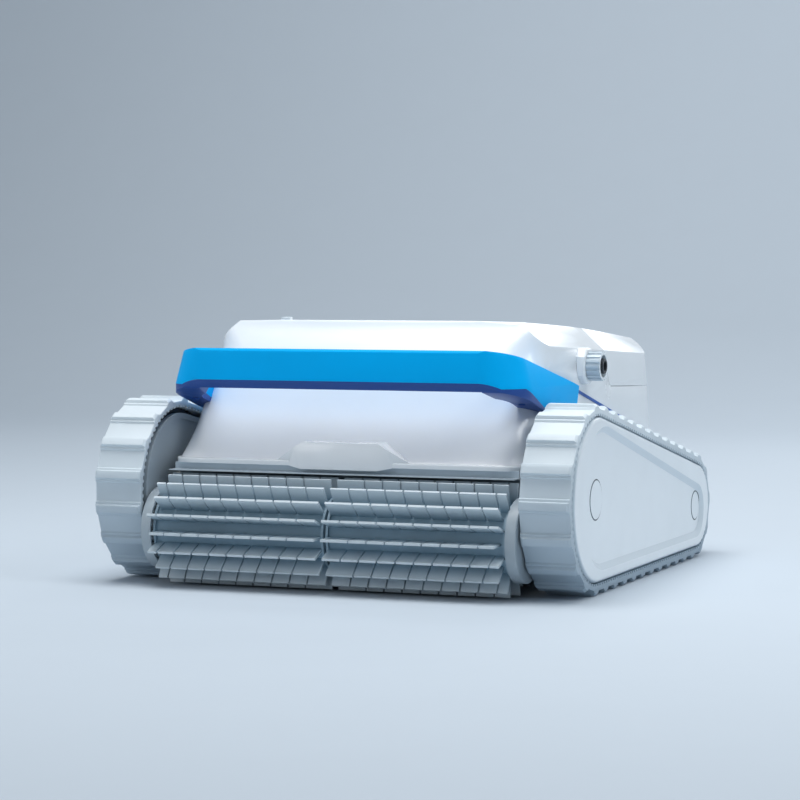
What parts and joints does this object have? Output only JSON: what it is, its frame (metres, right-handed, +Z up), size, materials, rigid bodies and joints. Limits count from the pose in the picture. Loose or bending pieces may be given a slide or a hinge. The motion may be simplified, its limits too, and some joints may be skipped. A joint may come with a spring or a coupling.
{
  "type": "pool cleaner",
  "caption": "Tracked pool-cleaning robot with a full-width finned brush roller, a filter body with a rear lid, and a front carrying handle.",
  "frame": {"origin": "on the floor under the middle of the machine's length and width", "axes": "+X to the side with the charging port, +Y to the rear with the filter lid, +Z up; the brush is at the -Y end"},
  "size_m": [0.43, 0.4552, 0.2274],
  "materials": {
    "white_shell": "satin gloss moulding",
    "white_cover": "satin moulding",
    "blue_grip": "satin gloss moulding",
    "navy_liner": "fine matt texture",
    "seam_blue": "matt",
    "track_rubber": "matt moulded rubber",
    "brush_rubber": "matt moulded rubber",
    "grey_plastic": "fine matt texture",
    "dark_plastic": "fine matt texture",
    "gear_plastic": "acetal",
    "motor_metal": "zinc coated can",
    "steel": "turned",
    "contact_metal": "plated",
    "filter_net": "woven screen",
    "battery_wrap": "shrink wrap"
  },
  "bodies": {
    "root": {"axle_plugs": "white_cover", "battery_pack": "battery_wrap", "bottom_plate": "grey_plastic", "brush_arm_left": "grey_plastic", "brush_arm_right": "grey_plastic", "brush_cowl": "white_cover", "brush_shaft": "steel", "button_housing": "dark_plastic", "button_spring": "steel", "charge_contact": "contact_metal", "charge_port_base": "white_shell", "charge_socket": "dark_plastic", "control_box": "dark_plastic", "cover_bolts": "steel", "drive_motor_left": "motor_metal", "drive_motor_right": "motor_metal", "filter_basket": "grey_plastic", "filter_mesh": "filter_net", "flap_pin": "steel", "front_plinth": "white_shell", "handle": "blue_grip", "handle_liner": "navy_liner", "handle_screws": "dark_plastic", "idler_axles": "steel", "intake_duct": "dark_plastic", "lid_hinge_pins": "steel", "lower_hull": "white_shell", "outlet_duct": "dark_plastic", "outlet_grille": "grey_plastic", "plate_screws": "steel", "pump_motor": "motor_metal", "seam_strip": "seam_blue", "shaft_seals": "dark_plastic", "side_cover_left": "white_cover", "side_cover_right": "white_cover", "track_belt_left": "track_rubber", "track_belt_right": "track_rubber", "track_frame_left": "grey_plastic", "track_frame_right": "grey_plastic", "upper_shell": "white_shell"},
    "drive_left": {"drive_wheel_left": "dark_plastic", "drive_shaft_left": "steel", "brush_drive_gear_left": "gear_plastic"},
    "drive_right": {"drive_wheel_right": "dark_plastic", "drive_shaft_right": "steel", "brush_drive_gear_right": "gear_plastic"},
    "idler_left": {"idler_wheel_left": "dark_plastic"},
    "idler_right": {"idler_wheel_right": "dark_plastic"},
    "pinion_left": {"motor_pinion_left": "steel"},
    "pinion_right": {"motor_pinion_right": "steel"},
    "brush_left": {"brush_sleeve_left": "brush_rubber", "brush_end_gear_left": "grey_plastic"},
    "brush_right": {"brush_sleeve_right": "brush_rubber", "brush_end_gear_right": "grey_plastic"},
    "pump_rotor": {"impeller": "gear_plastic"},
    "lid": {"filter_lid": "white_shell"},
    "lock": {"lid_lock": "grey_plastic"},
    "flap": {"intake_flap": "dark_plastic"},
    "collar": {"charge_collar": "white_cover"},
    "button": {"power_button": "white_cover"}
  },
  "joints": [
    {"name": "drive_spin_left", "type": "hinge", "parent": "root", "child": "drive_left", "pos_m": [-0.19, -0.1361, 0.0795], "axis": [1, 0, 0], "continuous": true, "deforming": ["track_belt_left"]},
    {"name": "idler_spin_left", "type": "hinge", "parent": "root", "child": "idler_left", "pos_m": [-0.19, 0.17734, 0.04929], "axis": [1, 0, 0], "continuous": true},
    {"name": "pinion_spin_left", "type": "hinge", "parent": "root", "child": "pinion_left", "pos_m": [-0.18, -0.1061, 0.0795], "axis": [1, 0, 0], "continuous": true},
    {"name": "brush_spin_left", "type": "hinge", "parent": "root", "child": "brush_left", "pos_m": [-0.08, -0.1806, 0.048], "axis": [1, 0, 0], "continuous": true},
    {"name": "drive_spin_right", "type": "hinge", "parent": "root", "child": "drive_right", "pos_m": [0.19, -0.1361, 0.0795], "axis": [1, 0, 0], "continuous": true, "deforming": ["track_belt_right"]},
    {"name": "idler_spin_right", "type": "hinge", "parent": "root", "child": "idler_right", "pos_m": [0.19, 0.17734, 0.04929], "axis": [1, 0, 0], "continuous": true},
    {"name": "pinion_spin_right", "type": "hinge", "parent": "root", "child": "pinion_right", "pos_m": [0.18, -0.1061, 0.0795], "axis": [1, 0, 0], "continuous": true},
    {"name": "brush_spin_right", "type": "hinge", "parent": "root", "child": "brush_right", "pos_m": [0.08, -0.1806, 0.048], "axis": [1, 0, 0], "continuous": true},
    {"name": "impeller_spin", "type": "hinge", "parent": "root", "child": "pump_rotor", "pos_m": [0, -0.0181, 0.14], "axis": [0, 0, 1], "continuous": true},
    {"name": "lid_hinge", "type": "hinge", "parent": "root", "child": "lid", "pos_m": [0, 0.2242, 0.1565], "axis": [-1, 0, 0], "range_deg": [0, 100]},
    {"name": "lid_lock_slide", "type": "slide", "parent": "lid", "child": "lock", "axis": [0, -0.9974, 0.0727], "range_m": [0, 0.004]},
    {"name": "flap_hinge", "type": "hinge", "parent": "root", "child": "flap", "pos_m": [0, 0.1214, 0.0662], "axis": [1, 0, 0], "range_deg": [0, 70]},
    {"name": "collar_turn", "type": "hinge", "parent": "root", "child": "collar", "pos_m": [0.1682, 0.0049, 0.185], "axis": [1, 0, 0], "range_deg": [0, 90]},
    {"name": "button_press", "type": "slide", "parent": "root", "child": "button", "axis": [0, 0, -1], "range_m": [0, 0.0018], "stiffness_N_per_m": 300, "springref_m": -0.002, "deforming": ["button_spring"]}
  ],
  "couplings": [
    {"joint": "idler_spin_left", "follows": "drive_spin_left", "ratio": 1.7143},
    {"joint": "pinion_spin_left", "follows": "drive_spin_left", "ratio": -2},
    {"joint": "brush_spin_left", "follows": "drive_spin_left", "ratio": -0.81818},
    {"joint": "idler_spin_right", "follows": "drive_spin_right", "ratio": 1.7143},
    {"joint": "pinion_spin_right", "follows": "drive_spin_right", "ratio": -2},
    {"joint": "brush_spin_right", "follows": "drive_spin_right", "ratio": -0.81818}
  ]
}
